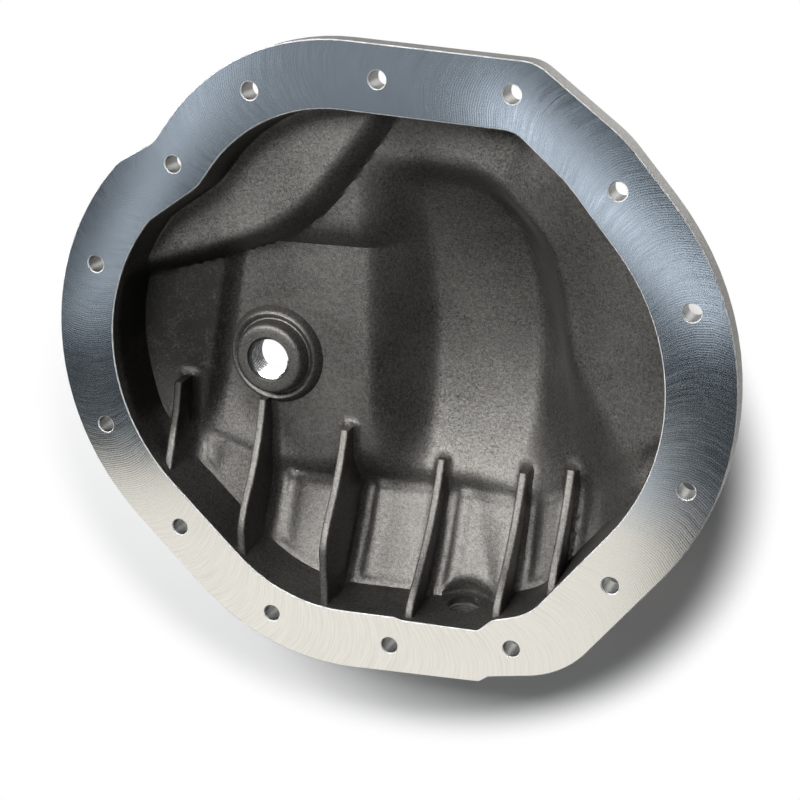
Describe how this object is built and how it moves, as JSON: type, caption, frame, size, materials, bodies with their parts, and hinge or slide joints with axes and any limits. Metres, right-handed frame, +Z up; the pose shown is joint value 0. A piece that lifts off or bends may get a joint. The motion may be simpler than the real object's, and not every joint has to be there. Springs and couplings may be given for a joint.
{
  "type": "differential cover",
  "caption": "Cast housing cover with a flat milled gasket flange, a deep ribbed bowl, a ring of bolt holes and two tapped openings.",
  "frame": {"origin": "middle of the opening in the plane of the gasket face, level with the axle's centre line", "axes": "-Y out of the gasket face towards the axle housing, +Z up as fitted, +X to the right seen from the gasket side"},
  "size_m": [0.3549, 0.08, 0.3261],
  "materials": {
    "cast_aluminium": "as cast inside and out, milled bright on the gasket face"
  },
  "bodies": {
    "root": {"differential_cover": "cast_aluminium"}
  },
  "joints": []
}
